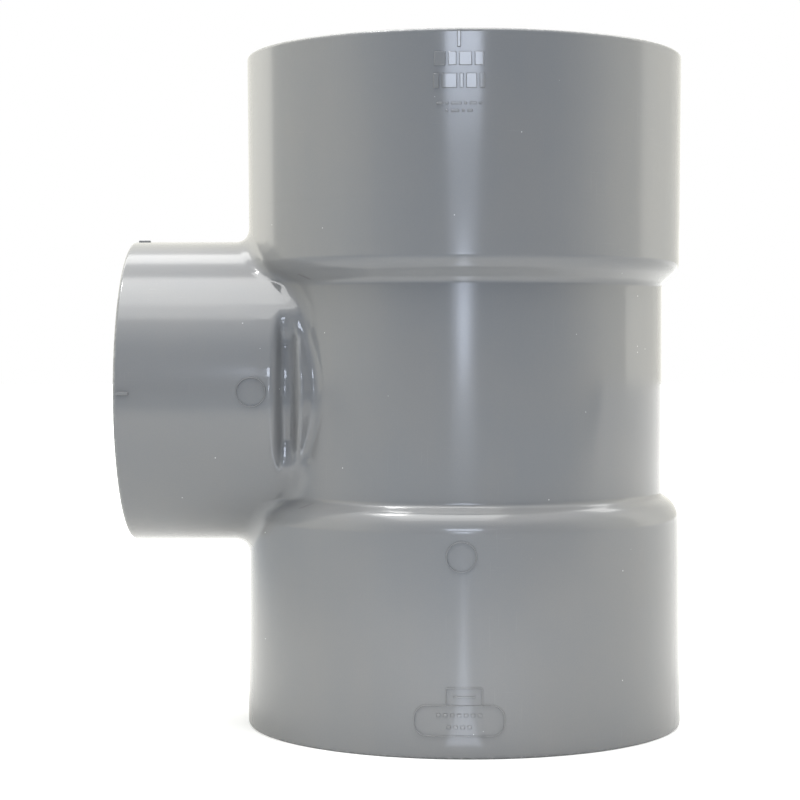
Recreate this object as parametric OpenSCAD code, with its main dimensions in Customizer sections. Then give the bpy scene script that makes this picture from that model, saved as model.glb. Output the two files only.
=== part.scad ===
// Reducing tee for solvent-welded PVC pressure pipe: an upright run with a socket at each end
// and a smaller socket on a side branch. The real fitting is one moulding, drawn here as its
// moulded regions, which meet face to face. Millimetres, +Z up along the run, branch to -X,
// front to -Y, origin at the centre of the lower socket's mouth.

/* [Run] */
// Length from one run rim to the other
run_len = 293; // [280:1:310]
// Outer diameter of a run socket at its rim
run_rim_d = 191; // [189:0.5:194]
// Outer diameter of a run socket at its root, which is smaller by the moulding draft
run_root_d = 189.6; // [188.5:0.1:190.5]
// Outer diameter of the barrel between the two run sockets
barrel_d = 174.4; // [172:0.2:178]
// Bore of a run socket, the mean of its slight taper
run_bore_d = 168.42; // [168.2:0.02:168.9]
// Depth of a run socket, from the rim to the pipe stop
run_depth = 76.2; // [74:0.1:78]
// Waterway through the run
run_way_d = 146.3; // [140:0.1:150]

/* [Branch] */
// Distance from the run's axis to the branch rim
branch_reach = 146; // [142:0.5:150]
// Outer diameter of the branch socket
branch_d = 132; // [131:0.2:133.6]
// Outer diameter of the neck between the branch socket and the saddle collar
neck_d = 118; // [112:0.5:120]
// Bore of the branch socket, the mean of its slight taper
branch_bore_d = 114.42; // [114.3:0.02:114.9]
// Depth of the branch socket, from the rim to the pipe stop
branch_depth = 57.15; // [56:0.05:58]
// Waterway through the branch
branch_way_d = 97.2; // [90:0.1:99]

/* [Edges] */
// Rounding of the outer rim edges
rim_round = 1.4; // [0.6:0.1:2]
// Chamfer at the mouth of each bore
mouth_chamfer = 1.5; // [0.5:0.1:2]
// Chamfer where a pipe stop meets its waterway
stop_chamfer = 2; // [1:0.1:3]
// Radius of the fillets between the branch and the run sockets
saddle_fillet = 4; // [2:0.1:4]

/* [Marks] */
// Height of the raised marks above the surface
mark_h = 0.4; // [0.2:0.05:0.8]
// Height of the index ribs at the rims
rib_h = 0.9; // [0.5:0.1:1.2]
// Width of the raised outlines
outline_w = 0.6; // [0.4:0.1:1]
// Diameter of the round witness marks
witness_d = 12.7; // [8:0.1:14]

/* [Hidden] */

$fn = 96;
pvc_grey = [0.53, 0.54, 0.55];
mark_grey = [0.57, 0.58, 0.59];

mid_z = run_len / 2;
run_rim_r = run_rim_d / 2;
run_root_r = run_root_d / 2;
barrel_r = barrel_d / 2;
run_bore_r = run_bore_d / 2;
run_way_r = run_way_d / 2;
branch_r = branch_d / 2;
neck_r = neck_d / 2;
branch_bore_r = branch_bore_d / 2;
branch_way_r = branch_way_d / 2;

// Height of the pipe stops above and below the branch's axis
stop_z = mid_z - run_depth;
// Distance of the branch's pipe stop from the run's axis
stop_x = branch_reach - branch_depth;

// Each run shoulder is a large convex arc, a straight slope and a small concave arc. These are
// its height at the root of the barrel, the two radii and the steepness of the slope.
upper_shoulder = [45, 3.8, 7.5, 50];
lower_shoulder = [44, 2.5, 11, 55];

// The branch socket's own shoulder, from its full diameter down to the neck
branch_shoulder_x = 81;
branch_shoulder = [2, 3.5, 72];

// Points of an arc about a centre
function arc(c, r, a0, a1, n = 10) =
  [for (i = [0:n]) let (a = a0 + (a1 - a0) * i / n) [c[0] + r * cos(a), c[1] + r * sin(a)]];

// Outline of a shoulder as [radius, height] points, from the low radius at height h up to the
// high radius. rc and rv are the concave and convex radii, and slope is in degrees.
function shoulder_rise(h, rc, rv, slope, low, high) =
  let (
    low_end = [low + rc * (1 - cos(slope)), h + rc * sin(slope)],
    high_drop = rv * (1 - cos(slope)),
    run_up = (high - high_drop - low_end[0]) / tan(slope),
    high_start = [high - high_drop, low_end[1] + run_up],
    convex_centre = [high - rv, high_start[1] + rv * sin(slope)]
  )
  concat(
    arc([low + rc, h], rc, 180, 180 - slope),
    arc(convex_centre, rv, -slope, 0)
  );

// Outline of a socket as [radius, height] points above its pipe stop at height 0
function socket_outline(bore_r, root_r, rim_r, depth) = concat(
  [[bore_r, 0], [root_r, 0]],
  arc([rim_r - rim_round, depth - rim_round], rim_round, 0, 90),
  [[bore_r + mouth_chamfer, depth], [bore_r, depth - mouth_chamfer]]
);

// Outer radius of a run socket at a height above or below the branch's axis
function run_outer_r(h) =
  run_root_r + (run_rim_r - run_root_r) * max(h - stop_z, 0) / (run_depth - rim_round);

module to_middle() { translate([0, 0, mid_z]) children(); }

// Turns a shape drawn along +Z so that it lies along the branch, with its top towards -X
module along_branch() { to_middle() rotate([0, -90, 0]) children(); }

module upside_down() { mirror([0, 0, 1]) children(); }

// Everything inside the branch's full outer diameter, on the branch's side of the run
module branch_core() { along_branch() cylinder(h = branch_reach, r = branch_r); }

module run_socket_solid() {
  translate([0, 0, stop_z])
    rotate_extrude()
      polygon(socket_outline(run_bore_r, run_root_r, run_rim_r, run_depth));
}

module upper_run_socket() {
  color(pvc_grey) to_middle() run_socket_solid();
}

module lower_run_socket() {
  color(pvc_grey) to_middle() upside_down() run_socket_solid();
}

// The thick ring between the barrel and a run socket, with the pipe stop on its far end
module run_shoulder_solid(s) {
  rotate_extrude()
    polygon(concat(
      [[run_way_r, s[0]]],
      shoulder_rise(s[0], s[1], s[2], s[3], barrel_r, run_root_r),
      [
        [run_root_r, stop_z],
        [run_way_r + stop_chamfer, stop_z],
        [run_way_r, stop_z - stop_chamfer]
      ]
    ));
}

module upper_run_shoulder() {
  color(pvc_grey)
    difference() {
      to_middle() run_shoulder_solid(upper_shoulder);
      branch_core();
    }
}

module lower_run_shoulder() {
  color(pvc_grey)
    difference() {
      to_middle() upside_down() run_shoulder_solid(lower_shoulder);
      branch_core();
    }
}

module run_barrel() {
  low = mid_z - lower_shoulder[0];
  high = mid_z + upper_shoulder[0];
  color(pvc_grey)
    difference() {
      translate([0, 0, low]) cylinder(h = high - low, r = barrel_r);
      translate([0, 0, low - 1]) cylinder(h = high - low + 2, r = run_way_r);
      branch_core();
    }
}

// The groove round the neck, outside which the saddle collar and the branch socket stand proud
module neck_groove() {
  clear_r = branch_r + 5;
  rise = shoulder_rise(0, branch_shoulder[0], branch_shoulder[1], branch_shoulder[2],
                       neck_r, branch_r);
  top = branch_shoulder_x - rise[len(rise) - 1][1];
  along_branch()
    rotate_extrude()
      polygon(concat(
        [[neck_r, 0]],
        [for (p = rise) [p[0], p[1] + top]],
        [[clear_r, branch_shoulder_x + 1], [clear_r, 0]]
      ));
}

// The collar on the run, the neck, and the thick ring up to the branch's pipe stop
module branch_saddle() {
  color(pvc_grey)
    difference() {
      along_branch() cylinder(h = stop_x, r = branch_r);
      difference() {
        neck_groove();
        cylinder(h = run_len, r = run_root_r);
      }
      cylinder(h = run_len, r = run_way_r);
      along_branch() cylinder(h = branch_reach, r = branch_way_r);
      along_branch()
        translate([0, 0, stop_x - stop_chamfer])
          cylinder(h = stop_chamfer + 1, r1 = branch_way_r, r2 = branch_way_r + stop_chamfer + 1);
    }
}

module branch_socket() {
  color(pvc_grey)
    along_branch()
      translate([0, 0, stop_x])
        rotate_extrude()
          polygon(socket_outline(branch_bore_r, branch_r, branch_r, branch_depth));
}

// A fillet along the corner between the branch and a run socket. It fades out at both ends,
// where the corner runs into the groove round the neck.
module saddle_fillet_solid() {
  half_turn = 29;
  steps = 24;
  arc_steps = 6;
  thinnest = 0.25;
  // Distance of the run socket's surface from the run's axis, in the plane that holds the
  // branch's axis and stands at an angle a from upright, at a distance rho from that axis
  function surface_x(rho, a) = sqrt(pow(run_root_r, 2) - pow(rho * sin(a), 2));
  // One section across the corner, in the plane at an angle a from upright
  function section(a) =
    let (
      f = max(saddle_fillet * sqrt(max(1 - pow(a / half_turn, 2), 0)), thinnest),
      outline = concat(arc([f, branch_r + f], f, 270, 180, arc_steps), [[0, branch_r]])
    )
    [for (p = outline) [-p[0] - surface_x(p[1], a), p[1] * sin(a), p[1] * cos(a)]];
  n = arc_steps + 2;
  points = [for (i = [0:steps]) each section(half_turn * (2 * i / steps - 1))];
  sides = [
    for (i = [0:steps - 1], j = [0:n - 1])
      let (a = i * n + j, b = i * n + (j + 1) % n)
      each [[a, b, a + n], [b, b + n, a + n]]
  ];
  first_end = [for (j = [n - 1:-1:0]) j];
  last_end = [for (j = [0:n - 1]) steps * n + j];
  polyhedron(points = points, faces = concat(sides, [first_end, last_end]));
}

module upper_saddle_fillet() {
  color(pvc_grey) to_middle() saddle_fillet_solid();
}

module lower_saddle_fillet() {
  color(pvc_grey) to_middle() upside_down() saddle_fillet_solid();
}

// A thin skin of height h on a run socket and the end of its shoulder, up to the rim's rounding
module run_skin(h) {
  heights = [stop_z - 13, stop_z, mid_z - rim_round];
  rotate_extrude()
    polygon(concat(
      [for (i = [0:2]) [run_outer_r(heights[i]), heights[i]]],
      [for (i = [2:-1:0]) [run_outer_r(heights[i]) + h, heights[i]]]
    ));
}

// A thin skin of height h on the branch socket
module branch_skin(h) {
  rotate([0, -90, 0])
    difference() {
      cylinder(h = branch_reach - rim_round, r = branch_r + h);
      translate([0, 0, -1]) cylinder(h = branch_reach, r = branch_r);
    }
}

// Lifts a flat shape, drawn as seen from the front, off the front of the fitting
module from_front() {
  rotate([90, 0, 0]) linear_extrude(height = run_rim_d) children();
}

// The marks' centre line stands a little to the branch's side
marks_x = -1.8;

module bar(x, z, w, h) { translate([x - w / 2, z - h / 2]) square([w, h]); }

// The short rib at the upper rim
module run_index_rib() {
  rib_w = 1.6;
  rib_len = 6.4;
  rib_top = mid_z - rim_round;
  color(mark_grey)
    to_middle()
      intersection() {
        run_skin(rib_h);
        from_front() bar(marks_x, rib_top - rib_len / 2, rib_w, rib_len);
      }
}

// The short ribs at the branch rim, on its front and on its top
module branch_index_ribs() {
  rib_w = 1.6;
  rib_len = 5.4;
  rib_x = branch_reach - rim_round - rib_len / 2;
  color(mark_grey)
    to_middle()
      for (turn = [0, -90])
        rotate([turn, 0, 0])
          intersection() {
            branch_skin(rib_h);
            from_front() bar(-rib_x, 0, rib_len, rib_w);
          }
}

module ring_2d(d) {
  difference() {
    circle(d = d);
    circle(d = d - 2 * outline_w);
  }
}

// The round witness mark below the lower shoulder
module run_witness_ring() {
  ring_drop = 65.1;
  color(mark_grey)
    to_middle()
      upside_down()
        intersection() {
          run_skin(mark_h);
          from_front() translate([marks_x / 2, ring_drop]) ring_2d(witness_d);
        }
}

// The round witness mark on the branch, beside the shoulder
module branch_witness_ring() {
  ring_x = -88.3;
  color(mark_grey)
    to_middle()
      intersection() {
        branch_skin(mark_h);
        from_front() translate([ring_x, 0.6]) ring_2d(witness_d);
      }
}

// Rows of plain bars where the size and material are marked, under the upper rim. Each row
// is its height above the branch's axis, the bars' height and the bars' widths.
mark_rows = [
  [134.2, 5.6, [4.6, 3.4, 5.2, 3.8]],
  [125.4, 6, [2.4, 6.2, 1.6, 4.4, 2.2]],
  [116.4, 1.2, [2.8, 1.2, 4.2, 1.2, 2.8, 1.2]],
  [113.4, 1.2, [1.2, 3.4, 1.2, 2.2]]
];
bar_gap = 1;

function total(v, n) = n <= 0 ? 0 : v[n - 1] + total(v, n - 1);

module size_mark_bars() {
  color(mark_grey)
    to_middle()
      intersection() {
        run_skin(mark_h);
        from_front()
          for (row = mark_rows) {
            widths = row[2];
            full = total(widths, len(widths)) + bar_gap * (len(widths) - 1);
            for (i = [0:len(widths) - 1])
              bar(marks_x - full / 2 + total(widths, i) + bar_gap * i + widths[i] / 2,
                  row[0], widths[i], row[1]);
          }
      }
}

// The label area near the lower rim: a long outline with rounded ends, and a small box on it
label_w = 37;
label_h = 12.8;
label_drop = 130.9;
label_round = 5;
box_w = 15.2;
box_h = 7.6;
box_x = 2;

module rounded_bar(w, h, r) {
  square([w - 2 * r, h], center = true);
  square([w, h - 2 * r], center = true);
  for (sx = [-1, 1], sz = [-1, 1])
    translate([sx * (w / 2 - r), sz * (h / 2 - r)]) circle(r);
}

module label_outline() {
  inner = 2 * outline_w;
  color(mark_grey)
    to_middle()
      upside_down()
        intersection() {
          run_skin(mark_h);
          from_front()
            translate([marks_x, label_drop])
              union() {
                difference() {
                  rounded_bar(label_w, label_h, label_round);
                  rounded_bar(label_w - inner, label_h - inner, label_round - outline_w);
                }
                translate([box_x, -(label_h + box_h) / 2 + outline_w])
                  difference() {
                    square([box_w, box_h], center = true);
                    square([box_w - inner, box_h - inner], center = true);
                  }
              }
        }
}

// Plain bars inside the label area: one in the small box, and two rows of short ones
module label_bars() {
  row_drops = [128.6, 133.4];
  row_counts = [7, 4];
  dash = [1.8, 1.5];
  pitch = 3.2;
  under_bar = [9, 0.9];
  color(mark_grey)
    to_middle()
      upside_down()
        intersection() {
          run_skin(mark_h);
          from_front() {
            bar(marks_x + box_x, label_drop - label_h / 2 - box_h / 2 + 2,
                under_bar[0], under_bar[1]);
            for (k = [0, 1], i = [0:row_counts[k] - 1])
              bar(marks_x + (i - (row_counts[k] - 1) / 2) * pitch, row_drops[k],
                  dash[0], dash[1]);
          }
        }
}

upper_run_socket();
lower_run_socket();
upper_run_shoulder();
lower_run_shoulder();
run_barrel();
branch_saddle();
branch_socket();
upper_saddle_fillet();
lower_saddle_fillet();
run_index_rib();
branch_index_ribs();
run_witness_ring();
branch_witness_ring();
size_mark_bars();
label_outline();
label_bars();
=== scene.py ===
"""Studio model of a reducing tee for solvent-welded PVC pressure pipe.

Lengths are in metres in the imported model's frame: +Z up along the run, the branch to -X, the
front to -Y. Surfaces are worked out about the crossing of the two axes, then lifted into place.
"""

import math
from typing import NamedTuple

import bmesh
import bpy
import numpy as np
from bpy.props import FloatProperty, FloatVectorProperty, PointerProperty
from mathutils import Matrix, Vector


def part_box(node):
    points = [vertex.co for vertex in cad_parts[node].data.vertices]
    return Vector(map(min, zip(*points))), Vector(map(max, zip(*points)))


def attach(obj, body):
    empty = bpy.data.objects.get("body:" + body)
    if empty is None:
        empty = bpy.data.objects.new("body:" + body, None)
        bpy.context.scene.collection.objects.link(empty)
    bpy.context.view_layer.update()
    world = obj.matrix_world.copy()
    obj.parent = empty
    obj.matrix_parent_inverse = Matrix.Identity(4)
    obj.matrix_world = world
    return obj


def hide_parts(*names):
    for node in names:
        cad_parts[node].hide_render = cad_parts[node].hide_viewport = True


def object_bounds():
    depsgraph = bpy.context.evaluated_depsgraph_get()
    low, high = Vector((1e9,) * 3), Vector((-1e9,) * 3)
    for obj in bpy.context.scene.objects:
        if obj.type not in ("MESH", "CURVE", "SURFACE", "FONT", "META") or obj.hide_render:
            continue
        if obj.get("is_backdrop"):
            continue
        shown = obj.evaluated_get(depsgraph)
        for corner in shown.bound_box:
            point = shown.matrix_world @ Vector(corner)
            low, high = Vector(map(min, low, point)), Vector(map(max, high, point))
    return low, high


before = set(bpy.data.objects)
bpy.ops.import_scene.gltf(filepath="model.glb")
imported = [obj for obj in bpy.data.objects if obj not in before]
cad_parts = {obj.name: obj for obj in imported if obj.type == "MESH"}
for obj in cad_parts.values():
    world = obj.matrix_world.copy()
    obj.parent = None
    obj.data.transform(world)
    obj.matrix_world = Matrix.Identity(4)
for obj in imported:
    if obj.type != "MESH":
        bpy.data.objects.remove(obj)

bl_info = {
    "name": "PVC reducing tee",
    "version": (1, 0, 0),
    "blender": (4, 5, 0),
    "location": "View3D > Sidebar > Tee",
    "description": "Builds a moulded PVC reducing tee and the studio it stands in",
    "category": "Object",
}

MM = 0.001
BODY = "root"

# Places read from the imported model
CAD_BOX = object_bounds()
UPPER_LOW, UPPER_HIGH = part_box("upper_run_socket")
LOWER_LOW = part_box("lower_run_socket")[0]
BRANCH_LOW, BRANCH_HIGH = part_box("branch_socket")
BARREL_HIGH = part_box("run_barrel")[1]
AXIS_Z = (UPPER_HIGH[2] + LOWER_LOW[2]) / 2
HALF_RUN = (UPPER_HIGH[2] - LOWER_LOW[2]) / 2
RUN_STOP = UPPER_LOW[2] - AXIS_Z
RUN_RIM_R = UPPER_HIGH[0]
BARREL_R = BARREL_HIGH[0]
BRANCH_REACH = -BRANCH_LOW[0]
BRANCH_STOP = -BRANCH_HIGH[0]
BRANCH_R = BRANCH_HIGH[2] - AXIS_Z

# Fineness of the meshes, and the angle from which an edge looks sharp
SOCKET_STEPS = 240
ARC_STEPS = 6
WELD_DISTANCE = 0.002 * MM
SHARP_ANGLE = math.radians(35)


class Step(NamedTuple):
    """A shoulder that steps out from a low radius to a high one, along its axis."""

    start: float
    concave: float
    convex: float
    slope: float

    def foot(self):
        """Length and height of the concave arc."""
        return self.concave * math.sin(self.slope), self.concave * (1 - math.cos(self.slope))

    def brow(self):
        """Length and height of the convex arc."""
        return self.convex * math.sin(self.slope), self.convex * (1 - math.cos(self.slope))

    def length(self, rise):
        """Length of the whole step along its axis."""
        foot_length, foot_height = self.foot()
        brow_length, brow_height = self.brow()
        straight = (rise - foot_height - brow_height) / math.tan(self.slope)
        return foot_length + straight + brow_length

    def radius(self, t, low, high):
        """Radius at distances t along the axis."""
        foot_length, foot_height = self.foot()
        brow_length, _ = self.brow()
        end = self.length(high - low)
        along = t - self.start
        in_foot = np.clip(along, 0, foot_length)
        in_brow = np.clip(end - along, 0, brow_length)
        concave = low + self.concave - np.sqrt(self.concave**2 - in_foot**2)
        straight = low + foot_height + (along - foot_length) * math.tan(self.slope)
        convex = high - self.convex + np.sqrt(self.convex**2 - in_brow**2)
        places = [along < foot_length, along < end - brow_length]
        return np.select(places, [concave, straight], default=convex)


UPPER_STEP = Step(45 * MM, 3.8 * MM, 7.5 * MM, math.radians(50))
LOWER_STEP = Step(44 * MM, 2.5 * MM, 11 * MM, math.radians(55))
BRANCH_STEP = Step(0, 2 * MM, 3.5 * MM, math.radians(72))
# Where the branch socket reaches its full radius, from the run's axis
BRANCH_SHOULDER_X = 81 * MM


# ---------------------------------------------------------------- sizes and finishes to change


def length(name, description, default):
    """A length in metres."""
    return FloatProperty(
        name=name, description=description, default=default, unit="LENGTH", precision=5
    )


def share(name, description, default):
    """A number from 0 to 1."""
    return FloatProperty(
        name=name, description=description, default=default, min=0, max=1, subtype="FACTOR"
    )


def colour(name, description, default):
    """A colour without alpha."""
    return FloatVectorProperty(
        name=name, description=description, default=default, size=3, min=0, max=1,
        subtype="COLOR",
    )


def radiance(name, description, default):
    """Light of a part of the room, where 1 is as bright as white paper looks."""
    return FloatVectorProperty(
        name=name, description=description, default=default, size=3, min=0, soft_max=4,
        subtype="COLOR",
    )


class TeeSizes(bpy.types.PropertyGroup):
    """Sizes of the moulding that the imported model's boxes don't give."""

    root_r: length("Run root radius", "Outer radius of a run socket at its root", 94.8 * MM)
    run_way_r: length("Run waterway", "Radius of the waterway through the run", 73.15 * MM)
    run_mouth_r: length("Run bore at mouth", "Bore radius of a run socket at its mouth",
                        84.415 * MM)
    run_seat_r: length("Run bore at stop", "Bore radius of a run socket at its pipe stop",
                       84.0 * MM)
    neck_r: length("Neck radius", "Radius in the groove behind the branch socket", 59 * MM)
    branch_way_r: length("Branch waterway", "Radius of the branch's waterway", 48.6 * MM)
    branch_mouth_r: length("Branch bore at mouth", "Bore radius of the branch at its mouth",
                           57.38 * MM)
    branch_seat_r: length("Branch bore at stop", "Bore radius of the branch at its pipe stop",
                          57.035 * MM)
    rim_round: length("Rim rounding", "Radius on the outer edge of each rim", 1.4 * MM)
    mouth_chamfer: length("Mouth chamfer", "Chamfer at the mouth of each bore", 1.5 * MM)
    stop_chamfer: length("Stop chamfer", "Chamfer where a stop meets its waterway", 2 * MM)
    way_round: length("Waterway rounding", "Rounding where the two waterways cross", 1.5 * MM)
    collar_round: length("Collar rounding", "Softening of the saddle collar's ridge", 2.2 * MM)
    wall_round: length("Collar wall rounding", "Softening of the ridge towards the groove",
                       2.4 * MM)
    collar_foot: length("Collar foot", "Softening where the collar meets the barrel", 2.6 * MM)
    neck_round: length("Neck rounding", "Softening between the collar and the neck", 1.8 * MM)
    saddle_round: length("Saddle fillet", "Softening between the branch and a run socket",
                         7 * MM)


class MarkSizes(bpy.types.PropertyGroup):
    """Sizes of the raised marks left by inserts and pins in the mould."""

    height: length("Mark height", "Height of the raised marks", 0.55 * MM)
    rib_height: length("Rib height", "Height of the index ribs", 0.9 * MM)
    edge: length("Mark edge", "Width of the sloping edge of a raised mark", 0.3 * MM)
    line: length("Outline width", "Width of a raised outline", 0.6 * MM)
    gap: length("Bar gap", "Gap between neighbouring bars", 1 * MM)
    label_round: length("Label rounding", "Corner radius of the label outline", 5 * MM)
    seam_width: length("Parting line width", "Width of the mould's parting line", 0.7 * MM)
    seam_height: length("Parting line height", "Height of the parting line", 0.12 * MM)


class PvcFinish(bpy.types.PropertyGroup):
    """Colour and surface of the grey PVC."""

    body: colour("Body", "Grey of the moulding", (0.184, 0.188, 0.191))
    warm: colour("Warm streaks", "Warmer grey in the mottling", (0.208, 0.203, 0.195))
    mark: colour("Marks", "Grey of the raised marks", (0.188, 0.192, 0.195))
    worn: colour("Worn edge", "Pale grey where edges have rubbed", (0.38, 0.38, 0.37))
    dust: colour("Dust", "Specks of dust", (0.5, 0.5, 0.48))
    polish: share("Polish", "Roughness of the polished saddle and marks", 0.07)
    roughness: share("Roughness", "Roughness of a clean moulded face", 0.145)
    mottle: share("Mottling", "Share of warm streaks", 0.5)
    wear: share("Edge wear", "Amount of wear along the rims", 0.55)
    scuffs: share("Scuffs", "Amount of fine scuffing", 0.12)
    grain: share("Grain", "Strength of the fine surface grain", 0.12)


class StudioLook(bpy.types.PropertyGroup):
    """The floor, the lights and the camera."""

    floor: colour("Floor", "Colour of the floor", (0.74, 0.74, 0.73))
    # Painted shade: a darker floor tint seen only by rays other than the camera's, in front and
    # on the left, for the room's dim floor
    painted_shade_floor: colour("Far floor", "Colour of the floor in front of the paper", (0.15, 0.2, 0.27))
    lens: FloatProperty(name="Lens", description="Focal length", default=96.14, unit="CAMERA")
    distance: length("Camera distance", "From the camera to the run's axis", 0.9496)
    eye_height: length("Camera height", "Above the branch's axis", 17.2 * MM)
    front: radiance("Front of the room", "Light from behind the camera", (0.02, 0.07, 0.17))
    left: radiance("Left of the room", "Light from the left", (1.36, 1.34, 1.2))
    right: radiance("Right of the room", "Light from the right", (1.7, 1.66, 1.48))
    sweep: radiance("Sweep", "Light from the middle of the white sweep", (1.25, 1.23, 1.13))
    sweep_edge: radiance("Sweep edges", "Light from the edges of the white sweep",
                         (2.6, 2.55, 2.32))
    ceiling: radiance("Ceiling", "Light from straight above", (1.9, 1.9, 1.9))


# ---------------------------------------------------------------- mesh helpers


def grid_faces(rows, columns, first):
    """Quads of a grid of points that is numbered row by row from first."""
    corner = np.arange((rows - 1) * columns).reshape(rows - 1, columns)[:, :-1].ravel() + first
    return np.stack([corner, corner + 1, corner + columns + 1, corner + columns], axis=1)


def closed_mesh(name, patches):
    """One closed mesh from grids of points whose edges meet."""
    faces = []
    first = 0
    for patch in patches:
        rows, columns = patch.shape[:2]
        faces.append(grid_faces(rows, columns, first))
        first += rows * columns
    points = np.concatenate([patch.reshape(-1, 3) for patch in patches])
    points[:, 2] += AXIS_Z
    mesh = bpy.data.meshes.new(name)
    mesh.from_pydata(points.tolist(), [], np.concatenate(faces).tolist())
    weld = bmesh.new()
    weld.from_mesh(mesh)
    bmesh.ops.remove_doubles(weld, verts=weld.verts, dist=WELD_DISTANCE)
    bmesh.ops.dissolve_degenerate(weld, edges=weld.edges, dist=WELD_DISTANCE)
    bmesh.ops.recalc_face_normals(weld, faces=weld.faces)
    open_edges = [e for e in weld.edges if len(e.link_faces) != 2]
    if open_edges:
        raise RuntimeError(f"{name} has {len(open_edges)} edges that don't join two faces")
    weld.to_mesh(mesh)
    weld.free()
    return mesh


def add_piece(name, patches, nodes, material):
    """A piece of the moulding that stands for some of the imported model's nodes."""
    mesh = closed_mesh(name, patches)
    mesh.shade_smooth()
    mesh.set_sharp_from_angle(angle=SHARP_ANGLE)
    mesh.materials.append(material)
    piece = bpy.data.objects.new(name, mesh)
    bpy.context.scene.collection.objects.link(piece)
    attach(piece, BODY)
    if nodes:
        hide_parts(*nodes)


def add_moulding(name, patches, *nodes):
    """A piece with the finish of the moulding's plain faces."""
    add_piece(name, patches, nodes, body_material())


def add_mark(name, patches, *nodes):
    """Raised marks, which are one piece."""
    add_piece(name, patches, nodes, mark_material())


def arc(centre, radius, start, end, steps=ARC_STEPS):
    """Points of an arc, with its angles in degrees."""
    turns = np.radians(np.linspace(start, end, steps + 1))
    return [(centre[0] + radius * math.cos(a), centre[1] + radius * math.sin(a)) for a in turns]


def turn_profile(profile, place):
    """A grid made by turning (radius, height) points once round an axis."""
    radius, height = np.array(profile).T
    angle = np.linspace(0, 2 * math.pi, SOCKET_STEPS + 1)
    angle[-1] = 0
    return place(angle[None, :], radius[:, None], height[:, None])


def about_run(angle, radius, height):
    """Points round the run's axis, with angle 0 at the branch and a quarter turn at the front."""
    angle, radius, height = np.broadcast_arrays(angle, radius, height)
    return np.stack([-radius * np.cos(angle), -radius * np.sin(angle), height], axis=-1)


def about_branch(angle, radius, reach):
    """Points round the branch's axis, with angle 0 at the front and a quarter turn at the top."""
    angle, radius, reach = np.broadcast_arrays(angle, radius, reach)
    return np.stack([-reach, -radius * np.cos(angle), radius * np.sin(angle)], axis=-1)


# ---------------------------------------------------------------- the moulding's outer shape


def run_radius(sizes, height):
    """Outer radius of the run at heights above the branch's axis, with the moulding draft."""
    far = np.abs(height)
    rise = sizes.root_r - BARREL_R
    steps = [step.radius(far, BARREL_R, sizes.root_r) for step in (UPPER_STEP, LOWER_STEP)]
    draft_start = UPPER_STEP.start + UPPER_STEP.length(rise)
    draft_length = HALF_RUN - sizes.rim_round - draft_start
    draft = (RUN_RIM_R - sizes.root_r) * np.clip((far - draft_start) / draft_length, 0, 1)
    return np.where(height > 0, steps[0], steps[1]) + draft


def branch_radius(sizes, reach):
    """Outer radius of the branch at distances from the run's axis."""
    foot = BRANCH_SHOULDER_X - BRANCH_STEP.length(BRANCH_R - sizes.neck_r)
    return BRANCH_STEP.radius(reach - foot, sizes.neck_r, BRANCH_R)


def gap_to_turned(radius_at, radius, along):
    """Distance, near enough, from a turned surface whose radius changes along its axis."""
    small = 0.02 * MM
    slope = (radius_at(along + small) - radius_at(along - small)) / (2 * small)
    return (radius - radius_at(along)) / np.sqrt(1 + slope**2)


def soft_min(a, b, width):
    """The lower of two distances, with the crease between them filled over a width."""
    width = np.maximum(width, 0.001 * MM)
    return np.minimum(a, b) - np.maximum(width - np.abs(a - b), 0) ** 2 / (4 * width)


def soft_max(a, b, width):
    """The higher of two distances, with the edge between them rounded over a width."""
    return -soft_min(-a, -b, width)


def smooth_step(value, low, high):
    """0 below low, 1 above high, and an S-shaped rise between them."""
    t = np.clip((value - low) / (high - low), 0, 1)
    return t * t * (3 - 2 * t)


# The saddle collar: the spread of its flank, and the wall that faces the groove behind the
# branch socket. The groove fades out between two heights, as shares of the branch's radius.
FLARE = math.radians(27.7)
WALL_X = 69.3 * MM
WALL_LEAN = math.radians(15)
GROOVE_LOW, GROOVE_HIGH = 0.31, 0.53


def gap_to_body(sizes, points):
    """Distance, near enough, from the outer face of the run, its saddle collar and the branch."""
    x, y, z = points[..., 0], points[..., 1], points[..., 2]
    from_run = np.hypot(x, y)
    from_branch = np.hypot(y, z)
    upright = np.abs(z) / from_branch
    filled = smooth_step(upright, GROOVE_LOW, GROOVE_HIGH)

    def branch_at(reach):
        grooved = branch_radius(sizes, reach)
        return grooved + (BRANCH_R - grooved) * filled

    run = gap_to_turned(lambda h: run_radius(sizes, h), from_run, z)
    branch = gap_to_turned(branch_at, from_branch, -x)
    proud = from_run - sizes.root_r
    flank = (from_branch - BRANCH_R) * math.cos(FLARE) - proud * math.sin(FLARE)
    wall = (-x - WALL_X) * math.cos(WALL_LEAN) + (from_branch - BRANCH_R) * math.sin(WALL_LEAN)
    collar = soft_max(soft_max(proud, flank, sizes.collar_round), wall, sizes.wall_round)
    drop = (sizes.root_r - run_radius(sizes, z)) / (sizes.root_r - BARREL_R)
    body = soft_min(run, collar, sizes.collar_foot * drop)
    fillet = sizes.neck_round + (sizes.saddle_round - sizes.neck_round) * upright
    return soft_min(body, branch, fillet)


# ---------------------------------------------------------------- sockets


def socket_profile(sizes, root_r, rim_r, rim, joint, stop, mouth_r, seat_r):
    """Closed outline of a socket as (radius, height): its outer face from joint up to the rim,
    and its tapered bore down to the pipe stop."""
    # The last rows lie close to the rim, so that its rounding doesn't bend the wall's shading
    share_up = np.append(np.linspace(0, 0.98, 14), 0.995)
    outer = [(root_r + (rim_r - root_r) * t, joint + (rim - sizes.rim_round - joint) * t)
             for t in share_up]
    edge = arc((rim_r - sizes.rim_round, rim - sizes.rim_round), sizes.rim_round, 0, 90)
    chamfer = sizes.mouth_chamfer
    bore = [(mouth_r + chamfer, rim), (mouth_r, rim - chamfer), (seat_r, stop)]
    return outer + edge + bore + outer[:1]


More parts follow.
